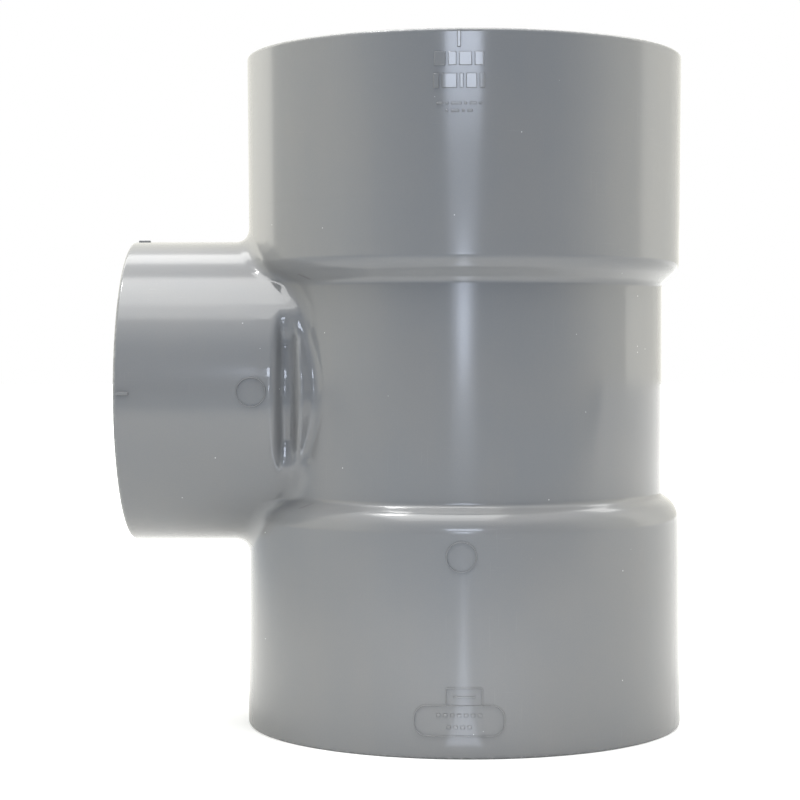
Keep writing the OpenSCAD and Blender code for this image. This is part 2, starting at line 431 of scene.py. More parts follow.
RUN_JOINT = 80 * MM
BRANCH_JOINT = 101 * MM


def run_socket_patches(sizes, side):
    """The upper socket for side 1, the lower for side -1."""
    root_r = float(run_radius(sizes, np.array(RUN_JOINT)))
    profile = socket_profile(sizes, root_r, RUN_RIM_R, HALF_RUN, RUN_JOINT, RUN_STOP,
                             sizes.run_mouth_r, sizes.run_seat_r)
    return [turn_profile([(r, side * h) for r, h in profile], about_run)]


def branch_socket_patches(sizes):
    """The smaller socket at the end of the branch."""
    profile = socket_profile(sizes, BRANCH_R, BRANCH_R, BRANCH_REACH, BRANCH_JOINT, BRANCH_STOP,
                             sizes.branch_mouth_r, sizes.branch_seat_r)
    return [turn_profile(profile, about_branch)]


# ---------------------------------------------------------------- the run's body


# The run's wall round the branch is laid out in blocks: one on each side of the hole, one above
# and one below it, and one at each corner. Beyond them it is turned like a plain tube.
SIDE_TURN = math.radians(72)
SIDE_COLUMNS = 14
CAP_COLUMNS = 40
CAP_ROWS = 10
BACK_COLUMNS = 144
SIDE_HEIGHT = 62 * MM
OUTER_HOLE_R = 76.5 * MM
INNER_HOLE_R = 66 * MM
EDGE_ROUNDS = 12


def row_heights():
    """Heights of the mesh rows above the branch's axis, closest together on the shoulders."""
    shoulder = 43.5 * MM
    barrel_rows = np.linspace(0, shoulder, 22)[:-1]
    shoulder_rows = np.linspace(shoulder, SIDE_HEIGHT, 38)[:-1]
    socket_rows = np.linspace(SIDE_HEIGHT, RUN_JOINT, CAP_ROWS + 1)
    upper = np.concatenate([barrel_rows, shoulder_rows, socket_rows])
    return np.concatenate([-upper[:0:-1], upper])


class HoledWall:
    """A tube's wall round a hole about the branch's axis.

    patches are its blocks of points, edge goes once round the hole, and rim_turns are the
    angles of the points along its top."""

    def __init__(self, radius_at, hole_r, heights, side_height):
        self.radius_at = radius_at
        slack = 0.01 * MM
        top = heights[-1]
        side = heights[np.abs(heights) < side_height + slack]
        cap = heights[heights > side_height - slack]
        edge_turn = np.arcsin(np.sqrt(hole_r**2 - side**2) / radius_at(side))
        across = np.linspace(0, 1, SIDE_COLUMNS + 1)
        side_turns = edge_turn[:, None] + (SIDE_TURN - edge_turn[:, None]) * across
        corner_turns = side_turns[-1]
        cap_turns = np.linspace(edge_turn[-1], -edge_turn[-1], CAP_COLUMNS + 1)
        back_turns = np.linspace(SIDE_TURN, 2 * math.pi - SIDE_TURN, BACK_COLUMNS + 1)
        cap_edge = np.full_like(cap_turns, side_height)
        for _ in range(EDGE_ROUNDS):
            cap_edge = np.sqrt(hole_r**2 - (radius_at(cap_edge) * np.sin(cap_turns)) ** 2)
        cap_share = (cap - side_height) / (top - side_height)
        cap_heights = cap_edge + (top - cap_edge) * cap_share[:, None]
        self.patches = [self.wall(back_turns, heights[:, None])]
        for turn in (1, -1):
            self.patches.append(self.wall(turn * side_turns, side[:, None]))
            for up in (1, -1):
                self.patches.append(self.wall(turn * corner_turns, up * cap[:, None]))
        for up in (1, -1):
            self.patches.append(self.wall(cap_turns, up * cap_heights))
        front = self.wall(edge_turn, side)
        above = self.wall(cap_turns, cap_edge)
        back = self.wall(-edge_turn, side)[::-1]
        below = self.wall(cap_turns, -cap_edge)[::-1]
        self.edge = np.concatenate([front, above[1:], back[1:], below[1:]])
        self.rim_turns = np.concatenate(
            [-corner_turns[::-1], cap_turns[::-1][1:], corner_turns[1:], back_turns[1:]]
        )

    def wall(self, turns, heights):
        turns, heights = np.broadcast_arrays(turns, heights)
        return about_run(turns, self.radius_at(heights), heights)


def run_walls(sizes):
    """The run's outer wall and its waterway, each round the branch's hole."""
    heights = row_heights()
    squash = (RUN_STOP - sizes.stop_chamfer) / RUN_JOINT
    outer = HoledWall(lambda z: run_radius(sizes, z), OUTER_HOLE_R, heights, SIDE_HEIGHT)
    inner = HoledWall(lambda z: np.full_like(z, sizes.run_way_r), INNER_HOLE_R,
                      heights * squash, SIDE_HEIGHT * squash)
    return outer, inner


def run_body_patches(sizes):
    """The barrel, both shoulders and the pipe stops on them."""
    outer, inner = run_walls(sizes)
    joint_r = float(run_radius(sizes, np.array(RUN_JOINT)))
    ledge_r = sizes.run_way_r + sizes.stop_chamfer
    patches = outer.patches + inner.patches + [np.stack([outer.edge, inner.edge])]
    for up in (1, -1):
        rings = [
            about_run(outer.rim_turns, joint_r, up * RUN_JOINT),
            about_run(outer.rim_turns, sizes.run_seat_r, up * RUN_STOP),
            about_run(inner.rim_turns, ledge_r, up * RUN_STOP),
            about_run(inner.rim_turns, sizes.run_way_r, up * (RUN_STOP - sizes.stop_chamfer)),
        ]
        patches.append(np.stack(rings))
    return patches


# ---------------------------------------------------------------- the branch saddle


STRIP_STEPS = 120
SPREAD_ROUNDS = 70
LONGEST_HOP = 0.4 * MM
LEAST_SLOPE = 0.3
LAST_ROUNDS = 6


def turns_of(edge):
    """Angles round the branch's axis of the points of an edge."""
    return np.arctan2(edge[:, 2], -edge[:, 1])


def settle(sizes, turns, reach, radius, rounds):
    """Moves points in planes through the branch's axis onto the outer shape."""
    small = 0.01 * MM

    def gap_at(d, r):
        return gap_to_body(sizes, about_branch(turns, r, d))

    for _ in range(rounds):
        gap = gap_at(reach, radius)
        slope_d = (gap_at(reach + small, radius) - gap) / small
        slope_r = (gap_at(reach, radius + small) - gap) / small
        hop = np.clip(gap, -LONGEST_HOP, LONGEST_HOP)
        hop = hop / np.maximum(slope_d**2 + slope_r**2, LEAST_SLOPE)
        reach = reach - hop * slope_d
        radius = radius - hop * slope_r
    return reach, radius


def smoothed(line):
    """Rows of numbers with each one drawn towards its neighbours, apart from the ends."""
    middle = (line[:, :-2] + 2 * line[:, 1:-1] + line[:, 2:]) / 4
    return np.concatenate([line[:, :1], middle, line[:, -1:]], axis=1)


def spread(reach, radius):
    """Moves the points of each row so that they are evenly spaced along it, without folds."""
    reach, radius = smoothed(reach), smoothed(radius)
    hops = np.hypot(np.diff(reach, axis=1), np.diff(radius, axis=1))
    travel = np.concatenate([np.zeros((len(hops), 1)), np.cumsum(hops, axis=1)], axis=1)
    even = np.linspace(0, 1, reach.shape[1])
    rows = [
        (np.interp(even * way[-1], way, d), np.interp(even * way[-1], way, r))
        for way, d, r in zip(travel, reach, radius)
    ]
    return np.array([d for d, _ in rows]), np.array([r for _, r in rows])


def strip_patch(sizes, edge):
    """The outer face from the branch socket over the neck and the collar to the run."""
    turns = turns_of(edge)[:, None]
    share_in = np.linspace(0, 1, STRIP_STEPS + 1)
    edge_r = np.hypot(edge[:, 1], edge[:, 2])[:, None]
    reach = BRANCH_JOINT + (-edge[:, :1] - BRANCH_JOINT) * share_in
    radius = BRANCH_R + (edge_r - BRANCH_R) * share_in
    for _ in range(SPREAD_ROUNDS):
        reach, radius = settle(sizes, turns, reach, radius, 1)
        reach[:, 0], radius[:, 0] = BRANCH_JOINT, BRANCH_R
        reach[:, -1], radius[:, -1] = -edge[:, 0], edge_r[:, 0]
        reach, radius = spread(reach, radius)
    reach, radius = settle(sizes, turns, reach, radius, LAST_ROUNDS)
    points = about_branch(turns, radius, reach)
    points[:, 0] = about_branch(turns, BRANCH_R, BRANCH_JOINT)[:, 0]
    points[:, -1] = edge
    return points


def branch_saddle_patches(sizes):
    """The collar, the neck, the fillets and the thick ring up to the branch's pipe stop."""
    outer, inner = run_walls(sizes)
    turns = turns_of(inner.edge)
    way_r = sizes.branch_way_r
    soft = sizes.way_round

    def on_waterway(radius):
        return -np.sqrt(sizes.run_way_r**2 - (radius * np.cos(turns)) ** 2)

    def ring(x, radius, ring_turns=turns):
        return about_branch(ring_turns, radius, -x)

    corner = ring(on_waterway(way_r), way_r)
    tube_end = ring(on_waterway(way_r) - soft, way_r)
    face_end = ring(on_waterway(way_r + soft), way_r + soft)
    rounded = [
        (1 - t) ** 2 * face_end + 2 * t * (1 - t) * corner + t**2 * tube_end
        for t in np.linspace(0, 1, ARC_STEPS + 1)
    ]
    face_radii = np.linspace(INNER_HOLE_R, way_r + soft, 8)[1:-1]
    face = [ring(on_waterway(radius), radius) for radius in face_radii]
    tube_far = -(BRANCH_STOP - sizes.stop_chamfer)
    tube = [tube_end + (ring(tube_far, way_r) - tube_end) * t for t in (1 / 3, 2 / 3, 1)]
    ledge = [
        ring(-BRANCH_STOP, way_r + sizes.stop_chamfer),
        ring(-BRANCH_STOP, sizes.branch_seat_r),
        ring(-BRANCH_JOINT, BRANCH_R, turns_of(outer.edge)),
    ]
    inside = np.stack([inner.edge] + face + rounded + tube + ledge)
    return [strip_patch(sizes, outer.edge), inside, np.stack([outer.edge, inner.edge])]


# ---------------------------------------------------------------- raised marks


def on_run(sizes):
    """The front of the run: x across, height above the branch's axis, and lift off the face."""

    def skin(x, height, lift):
        radius = run_radius(sizes, height) + lift
        return about_run(math.pi / 2 + np.arcsin(x / radius), radius, height)

    return skin


def on_branch(quarter_turns):
    """The front of the branch, or its top after a quarter turn: x along, distance round it."""

    def skin(x, around, lift):
        radius = BRANCH_R + lift
        return about_branch(quarter_turns * math.pi / 2 + np.arcsin(around / radius), radius, -x)

    return skin


# How deep the marks' edges and undersides are sunk into the face under them
EDGE_SINK = 0.15 * MM
UNDER_SINK = 0.3 * MM
BAR_STEP = 1.2 * MM


def edge_profile(marks, height):
    """Distance in from a raised mark's foot, and lift there."""
    return [0, 0.4 * marks.edge, marks.edge], [-EDGE_SINK, 0.65 * height, height]


def pad_patches(skin, centre, size, marks, height):
    """A raised bar with sloping edges, sunk a little into the face under it."""
    inset, lift = edge_profile(marks, height)
    spans = []
    for middle, width in zip(centre, size):
        steps = max(2, round(width / BAR_STEP))
        flat = np.linspace(inset[-1], width - inset[-1], steps + 1)
        line = np.concatenate([inset[:-1], flat, width - np.array(inset[-2::-1])])
        spans.append((middle - width / 2 + line, np.minimum(line, width - line)))
    (across, from_side), (up, from_end) = spans
    edge_distance = np.minimum(from_side[:, None], from_end[None, :])
    lifts = np.interp(edge_distance, inset, lift)
    grid_x, grid_z = np.meshgrid(across, up, indexing="ij")
    top = skin(grid_x, grid_z, lifts)
    bottom = skin(grid_x, grid_z, np.full_like(lifts, -UNDER_SINK))
    borders = [
        np.stack([top[0], bottom[0]]),
        np.stack([top[-1], bottom[-1]]),
        np.stack([top[:, 0], bottom[:, 0]]),
        np.stack([top[:, -1], bottom[:, -1]]),
    ]
    return [top, bottom] + borders


def outline_patch(skin, path, marks):
    """A raised line of rounded section along a closed path of (across, up) points."""
    half = marks.line / 2
    offsets = np.array([-1, -0.8, -0.35, 0.35, 0.8, 1, 1, -1, -1]) * half
    rise = [-EDGE_SINK, 0.55 * marks.height, marks.height]
    lifts = np.array(rise + rise[::-1] + [-UNDER_SINK, -UNDER_SINK, -EDGE_SINK])
    path = np.array(path)
    ahead = np.roll(path[:-1], -1, axis=0) - np.roll(path[:-1], 1, axis=0)
    ahead = np.concatenate([ahead, ahead[:1]])
    ahead /= np.linalg.norm(ahead, axis=1)[:, None]
    sideways = np.stack([-ahead[:, 1], ahead[:, 0]], axis=1)
    spots = path[:, None, :] + sideways[:, None, :] * offsets[None, :, None]
    return skin(spots[..., 0], spots[..., 1], np.broadcast_to(lifts, spots.shape[:2]))


def ring_path(centre, radius, steps=64):
    """A closed circle."""
    path = arc(centre, radius, 0, 360, steps)
    return path[:-1] + path[:1]


def rounded_box_path(centre, size, corner_r):
    """A closed outline of a box with rounded corners and points along its straight sides."""
    half_w, half_h = size[0] / 2 - corner_r, size[1] / 2 - corner_r
    corners = []
    for k, (sx, sz) in enumerate([(1, 1), (-1, 1), (-1, -1), (1, -1)]):
        middle = (centre[0] + sx * half_w, centre[1] + sz * half_h)
        corners.append(arc(middle, corner_r, 90 * k, 90 * k + 90, 8))
    path = []
    for corner, following in zip(corners, corners[1:] + corners[:1]):
        start, end = np.array(corner[-1]), np.array(following[0])
        steps = max(2, round(np.linalg.norm(end - start) / (2 * MM)))
        path += corner[:-1]
        path += [tuple(start + (end - start) * i / steps) for i in range(steps)]
    return path + path[:1]


def seam_patches(marks, sections):
    """Parting lines: low ridges along paths in the plane of the two axes."""
    half = marks.seam_width / 2
    across = np.array([-1, -0.45, 0.45, 1, 1, -1, -1]) * half
    sink = -0.1 * MM
    lifts = np.array([sink, marks.seam_height, marks.seam_height, sink, 2 * sink, 2 * sink, sink])
    patches = []
    for path in sections:
        path = np.array(path)
        ahead = np.gradient(path, axis=0)
        ahead /= np.linalg.norm(ahead, axis=1)[:, None]
        outward = np.stack([-ahead[:, 1], ahead[:, 0]], axis=1)
        grid = np.empty((len(path), len(across), 3))
        grid[..., 0] = path[:, None, 0] + outward[:, None, 0] * lifts
        grid[..., 1] = across
        grid[..., 2] = path[:, None, 1] + outward[:, None, 1] * lifts
        patches.append(grid)
        for end in (grid[0], grid[-1]):
            patches.append(np.stack([end[[0, 1, 2, 3]], end[[6, 5, 5, 4]]]))
    return patches


# ---------------------------------------------------------------- shader node groups


def new_group(name, inputs, label="Mask", kind="NodeSocketFloat"):
    """A shader node group with a vector, the named inputs with their defaults, and one output."""
    group = bpy.data.node_groups.new(name, "ShaderNodeTree")
    group.interface.new_socket("Vector", in_out="INPUT", socket_type="NodeSocketVector")
    for given, default in inputs.items():
        given_kind = "NodeSocketColor" if isinstance(default, tuple) else "NodeSocketFloat"
        socket = group.interface.new_socket(given, in_out="INPUT", socket_type=given_kind)
        socket.default_value = default
    group.interface.new_socket(label, in_out="OUTPUT", socket_type=kind)
    start = group.nodes.new("NodeGroupInput")
    end = group.nodes.new("NodeGroupOutput")
    return group, start.outputs, end.inputs[label]


def set_sockets(tree, node, values):
    """Gives a node's inputs their values, or links them where a value is another socket."""
    for label, value in values.items():
        if isinstance(value, bpy.types.NodeSocket):
            tree.links.new(value, node.inputs[label])
        else:
            node.inputs[label].default_value = value
    return node


def math_node(tree, operation, *values, clamp=False):
    """A Math node's output."""
    node = tree.nodes.new("ShaderNodeMath")
    node.operation = operation
    node.use_clamp = clamp
    return set_sockets(tree, node, dict(enumerate(values))).outputs[0]


def noise_node(tree, vector, scale, detail=2.0, roughness=0.5):
    """A Noise Texture's value."""
    node = tree.nodes.new("ShaderNodeTexNoise")
    values = {"Vector": vector, "Scale": scale, "Detail": detail, "Roughness": roughness}
    return set_sockets(tree, node, values).outputs["Fac"]


def range_node(tree, value, low, high, to_low=0.0, to_high=1.0):
    """A smooth step between two values."""
    node = tree.nodes.new("ShaderNodeMapRange")
    node.interpolation_type = "SMOOTHSTEP"
    values = {"Value": value, "From Min": low, "From Max": high, "To Min": to_low,
              "To Max": to_high}
    return set_sockets(tree, node, values).outputs["Result"]


def mix_node(tree, share_of_second, first, second):
    """A mix of two colours."""
    node = tree.nodes.new("ShaderNodeMix")
    node.data_type = "RGBA"
    return set_sockets(tree, node, {0: share_of_second, 6: first, 7: second}).outputs[2]


def vector_node(tree, operation, *vectors):
    """A Vector Math node's outputs."""
    node = tree.nodes.new("ShaderNodeVectorMath")
    node.operation = operation
    return set_sockets(tree, node, dict(enumerate(vectors))).outputs


def stretched(tree, vector, scale):
    """A vector scaled by different amounts along each axis."""
    return vector_node(tree, "MULTIPLY", vector, scale)[0]


def split_node(tree, vector):
    """A vector's parts."""
    node = tree.nodes.new("ShaderNodeSeparateXYZ")
    tree.links.new(vector, node.inputs[0])
    return node.outputs


def mottle_group():
    """Soft clouds and fine speckle between two greys, as filler leaves in moulded PVC."""
    inputs = {"Base": (0.2, 0.2, 0.2, 1), "Streak": (0.25, 0.25, 0.25, 1), "Amount": 0.5}
    tree, given, result = new_group("Moulded mottle", inputs, "Color", "NodeSocketColor")
    clouds = noise_node(tree, given["Vector"], 28.0, 3.0)
    flow = noise_node(tree, stretched(tree, given["Vector"], (60.0, 60.0, 9.0)), 1.0, 2.0)
    speckle = noise_node(tree, given["Vector"], 1900.0, 1.0)
    soft = math_node(tree, "ADD", range_node(tree, clouds, 0.35, 0.68, 0.0, 0.5),
                     range_node(tree, flow, 0.4, 0.65, 0.0, 0.25))
    both = math_node(tree, "ADD", soft, range_node(tree, speckle, 0.42, 0.62, 0.0, 0.45))
    mask = math_node(tree, "MULTIPLY", both, given["Amount"], clamp=True)
    tree.links.new(mix_node(tree, mask, given["Base"], given["Streak"]), result)
    return tree


def grain_group():
    """Height of the fine grain of a polished mould, with slow ripples under it."""
    tree, given, result = new_group("Mould grain", {"Strength": 0.1}, "Height")
    fine = noise_node(tree, given["Vector"], 2600.0, 2.0)
    ripple = noise_node(tree, given["Vector"], 90.0, 1.0)
    both = math_node(tree, "MULTIPLY_ADD", ripple, 3.0, fine)
    tree.links.new(math_node(tree, "MULTIPLY", both, given["Strength"]), result)
    return tree


def scuff_group():
    """Mask of fine scuffs in two directions, in patches."""
    tree, given, result = new_group("Fine scuffs", {"Amount": 0.3})
    upright = noise_node(tree, stretched(tree, given["Vector"], (1700.0, 1700.0, 45.0)), 1.0, 1.0)
    level = noise_node(tree, stretched(tree, given["Vector"], (70.0, 70.0, 2100.0)), 1.0, 1.0)
    patchy = range_node(tree, noise_node(tree, given["Vector"], 33.0, 2.0), 0.5, 0.68)
    lines = math_node(tree, "MAXIMUM", range_node(tree, upright, 0.66, 0.74),
                      range_node(tree, level, 0.68, 0.76))
    mask = math_node(tree, "MULTIPLY", lines, patchy)
    tree.links.new(math_node(tree, "MULTIPLY", mask, given["Amount"], clamp=True), result)
    return tree


def distance_node(tree, *parts):
    """Length of the hypotenuse over two numbers."""
    squares = [math_node(tree, "MULTIPLY", part, part) for part in parts]
    return math_node(tree, "SQRT", math_node(tree, "ADD", *squares))


def rim_wear_group():
    """Mask of rubbed places along the outer edges of the three rims, and faintly across them."""
    tree, given, result = new_group("Rim wear", {"Amount": 0.5})
    band, edge, faint = 1.6 * MM, 1.2 * MM, 0.12
    x, y, z = split_node(tree, given["Vector"])
    height = math_node(tree, "SUBTRACT", z, AXIS_Z)
    from_middle = math_node(tree, "ABSOLUTE", height)
    masks = []
    for along, reach, from_axis, radius in (
        (from_middle, HALF_RUN, distance_node(tree, x, y), RUN_RIM_R),
        (math_node(tree, "MULTIPLY", x, -1.0), BRANCH_REACH, distance_node(tree, y, height),
         BRANCH_R),
    ):
        at_rim = range_node(tree, along, reach - band, reach)
        at_edge = range_node(tree, from_axis, radius - edge, radius - edge / 2, faint, 1.0)
        masks.append(math_node(tree, "MULTIPLY", at_rim, at_edge))
    rims = math_node(tree, "MAXIMUM", *masks)
    rubbed = range_node(tree, noise_node(tree, given["Vector"], 420.0, 4.0, 0.65), 0.42, 0.66)
    mask = math_node(tree, "MULTIPLY", rims, rubbed)
    tree.links.new(math_node(tree, "MULTIPLY", mask, given["Amount"], clamp=True), result)
    return tree


def saddle_polish_group():
    """Mask of the polished part of the mould: the neck and the saddle collar."""
    tree, given, result = new_group("Polished saddle", {})
    dull_x, polished_x, polished_r = -90 * MM, -84 * MM, BRANCH_R + 1 * MM
    x, y, z = split_node(tree, given["Vector"])
    height = math_node(tree, "SUBTRACT", z, AXIS_Z)
    from_branch = distance_node(tree, y, height)
    near_axis = range_node(tree, from_branch, OUTER_HOLE_R, polished_r)
    inside = range_node(tree, x, dull_x, polished_x)
    tree.links.new(math_node(tree, "MULTIPLY", near_axis, inside), result)
    return tree


def dust_group():
    """Mask of scattered specks of dust."""
    tree, given, result = new_group("Dust specks", {"Density": 0.2})
    cells = tree.nodes.new("ShaderNodeTexVoronoi")
    set_sockets(tree, cells, {"Vector": given["Vector"], "Scale": 260.0})
    chosen = tree.nodes.new("ShaderNodeSeparateColor")
    tree.links.new(cells.outputs["Color"], chosen.inputs[0])
    kept = math_node(tree, "LESS_THAN", chosen.outputs[0], given["Density"])
    speck = range_node(tree, cells.outputs["Distance"], 0.09, 0.04)
    tree.links.new(math_node(tree, "MULTIPLY", kept, speck), result)
    return tree


# ---------------------------------------------------------------- materials


def place_group(tree, name, make, vector, **values):
    """Puts a node group, made once, in a material, and gives its inputs their values."""
    node = tree.nodes.new("ShaderNodeGroup")
    node.node_tree = bpy.data.node_groups.get(name) or make()
    return set_sockets(tree, node, {"Vector": vector, **values}).outputs[0]


def opaque(rgb):
    """A colour with alpha 1."""
    return (*rgb, 1.0)


PVC_IOR = 1.53
DUST_DENSITY = 0.05
SCUFF_COLOUR = 0.5
SCUFF_DEPTH = 0.4
WORN_DULLNESS = 0.3
BUMP_STRENGTH = 0.35
BUMP_DISTANCE = 0.02 * MM


def pvc_material(name, base, streak, wear, roughness):
    """Grey moulded PVC: mottled colour, rubbed rims, fine scuffs, dust and mould grain."""
    finish = bpy.context.scene.pvc_finish
    material = bpy.data.materials.new(name)
    material.use_nodes = True
    tree = material.node_tree
    shader = tree.nodes["Principled BSDF"]
    vector = tree.nodes.new("ShaderNodeTexCoord").outputs["Object"]
    mottle = place_group(tree, "Moulded mottle", mottle_group, vector, Base=opaque(base),
                         Streak=opaque(streak), Amount=finish.mottle)
    worn = place_group(tree, "Rim wear", rim_wear_group, vector, Amount=wear)
    scuffs = place_group(tree, "Fine scuffs", scuff_group, vector, Amount=finish.scuffs)
    dust = place_group(tree, "Dust specks", dust_group, vector, Density=DUST_DENSITY)
    grain = place_group(tree, "Mould grain", grain_group, vector, Strength=finish.grain)
    scuffed = math_node(tree, "MULTIPLY", scuffs, SCUFF_COLOUR)
    rubbed = math_node(tree, "MAXIMUM", worn, scuffed)
    tinted = mix_node(tree, rubbed, mottle, opaque(finish.worn))
    dusty = mix_node(tree, dust, tinted, opaque(finish.dust))
    tree.links.new(dusty, shader.inputs["Base Color"])
    polished = place_group(tree, "Polished saddle", saddle_polish_group, vector)
    smooth = math_node(tree, "MULTIPLY_ADD", polished, finish.polish - roughness, roughness)
    dullness = math_node(tree, "MULTIPLY_ADD", rubbed, WORN_DULLNESS, smooth)
    dull = math_node(tree, "MULTIPLY_ADD", dust, WORN_DULLNESS, dullness, clamp=True)
    tree.links.new(dull, shader.inputs["Roughness"])
    shader.inputs["IOR"].default_value = PVC_IOR
    bump = tree.nodes.new("ShaderNodeBump")
    height = math_node(tree, "SUBTRACT", grain, math_node(tree, "MULTIPLY", scuffs, SCUFF_DEPTH))
    values = {"Height": height, "Strength": BUMP_STRENGTH, "Distance": BUMP_DISTANCE}
    set_sockets(tree, bump, values)
    tree.links.new(bump.outputs["Normal"], shader.inputs["Normal"])
    return material


def body_material():
    """The moulding's own grey."""
    finish = bpy.context.scene.pvc_finish
    found = bpy.data.materials.get("pvc_body_grey")
    return found or pvc_material("pvc_body_grey", finish.body, finish.warm, finish.wear,
                                 finish.roughness)


def mark_material():
    """The raised marks, as polished as the inserts that leave them."""
    finish = bpy.context.scene.pvc_finish
    found = bpy.data.materials.get("pvc_mark_grey")
    return found or pvc_material("pvc_mark_grey", finish.mark, finish.warm, 0.0, finish.polish)


# ---------------------------------------------------------------- operators: the pieces


class TEE_OT_run_sockets(bpy.types.Operator):
    """Builds the sockets at both ends of the run"""

    bl_idname = "tee.run_sockets"
    bl_label = "Run sockets"

    def execute(self, context):
        sizes = context.scene.tee_sizes
        for node, side in (("upper_run_socket", 1), ("lower_run_socket", -1)):
            add_moulding(f"{node}_moulding", run_socket_patches(sizes, side), node)
        return {"FINISHED"}


class TEE_OT_branch_socket(bpy.types.Operator):
    """Builds the smaller socket at the end of the branch"""

    bl_idname = "tee.branch_socket"
    bl_label = "Branch socket"

    def execute(self, context):
        add_moulding("branch_socket_moulding", branch_socket_patches(context.scene.tee_sizes),
                     "branch_socket")
        return {"FINISHED"}


class TEE_OT_run_body(bpy.types.Operator):
    """Builds the barrel with both shoulders and their pipe stops"""

    bl_idname = "tee.run_body"
    bl_label = "Run body"

    def execute(self, context):
        add_moulding("run_body_moulding", run_body_patches(context.scene.tee_sizes),
                     "run_barrel", "upper_run_shoulder", "lower_run_shoulder")
        return {"FINISHED"}


class TEE_OT_branch_saddle(bpy.types.Operator):
    """Builds the saddle collar, the neck and the fillets that join the branch to the run"""

    bl_idname = "tee.branch_saddle"
    bl_label = "Branch saddle"

    def execute(self, context):
        add_moulding("branch_saddle_moulding", branch_saddle_patches(context.scene.tee_sizes),
                     "branch_saddle", "upper_saddle_fillet", "lower_saddle_fillet")
        return {"FINISHED"}


class Patch(NamedTuple):
    """Middle and size of a mark, seen square on, relative to the crossing of the axes."""

    middle: tuple
    size: tuple


def seen_from_front(node):
    """Where a mark lies, seen from the front."""
    low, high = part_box(node)
    middle = ((low[0] + high[0]) / 2, (low[2] + high[2]) / 2 - AXIS_Z)
    return Patch(middle, (high[0] - low[0], high[2] - low[2]))


class TEE_OT_index_ribs(bpy.types.Operator):
    """Builds the short alignment ribs at the upper rim and at the branch rim"""

    bl_idname = "tee.index_ribs"
    bl_label = "Index ribs"

    def execute(self, context):
        sizes, marks = context.scene.tee_sizes, context.scene.mark_sizes
        rib = seen_from_front("run_index_rib")
        rib_width = rib.size[0]
        patches = pad_patches(on_run(sizes), rib.middle, rib.size, marks, marks.rib_height)
        add_mark("run_index_rib_mark", patches, "run_index_rib")
        low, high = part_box("branch_index_ribs")
        middle = ((low[0] + high[0]) / 2, 0)
        size = (high[0] - low[0], rib_width)
        patches = []
        for quarter_turns in (0, 1):
            skin = on_branch(quarter_turns)
            patches += pad_patches(skin, middle, size, marks, marks.rib_height)
        add_mark("branch_index_rib_marks", patches, "branch_index_ribs")
        return {"FINISHED"}


class TEE_OT_witness_rings(bpy.types.Operator):
    """Builds the round witness marks on the run and on the branch"""

    bl_idname = "tee.witness_rings"
    bl_label = "Witness rings"

    def execute(self, context):
        sizes, marks = context.scene.tee_sizes, context.scene.mark_sizes
        for node, skin in (("run_witness_ring", on_run(sizes)),
                           ("branch_witness_ring", on_branch(0))):
            place = seen_from_front(node)
            path = ring_path(place.middle, (place.size[0] - marks.line) / 2)
            add_mark(f"{node}_mark", [outline_patch(skin, path, marks)], node)
        return {"FINISHED"}


class BarRow(NamedTuple):
    """A row of plain bars: its place up from the bottom of the marks, height and widths."""

    up: float
    height: float
    widths: tuple


# The plain bars under the upper rim, those in the label area and the one in the box on top of
# it, in millimetres
SIZE_ROWS = (
    BarRow(1.2, 1.2, (1.2, 3.4, 1.2, 2.2)),
    BarRow(4.2, 1.2, (2.8, 1.2, 4.2, 1.2, 2.8, 1.2)),
    BarRow(13.2, 6, (2.4, 6.2, 1.6, 4.4, 2.2)),
    BarRow(22, 5.6, (4.6, 3.4, 5.2, 3.8)),
)
LABEL_ROWS = (BarRow(8.7, 1.5, (1.8,) * 7), BarRow(3.9, 1.5, (1.8,) * 4))
BOX_BAR = BarRow(0, 0.9, (9,))


def bar_row_patches(skin, middle_x, height_above, row, marks):
    """A centred row of bars."""
    gap = marks.gap / MM
    left = -(sum(row.widths) + gap * (len(row.widths) - 1)) / 2
    patches = []
    for width in row.widths:
        centre = (middle_x + (left + width / 2) * MM, height_above)
        patches += pad_patches(skin, centre, (width * MM, row.height * MM), marks, marks.height)
        left += width + gap
    return patches


class TEE_OT_size_marks(bpy.types.Operator):
    """Builds the plain bars that stand where the size is marked"""

    bl_idname = "tee.size_marks"
    bl_label = "Size marks"

    def execute(self, context):
        sizes, marks = context.scene.tee_sizes, context.scene.mark_sizes
        place = seen_from_front("size_mark_bars")
        half_bar = SIZE_ROWS[0].height / 2
        bottom = place.middle[1] - place.size[1] / 2 - half_bar * MM
        skin = on_run(sizes)
        patches = []
        for row in SIZE_ROWS:
            patches += bar_row_patches(skin, place.middle[0], bottom + row.up * MM, row, marks)
        add_mark("size_bar_marks", patches, "size_mark_bars")
        return {"FINISHED"}


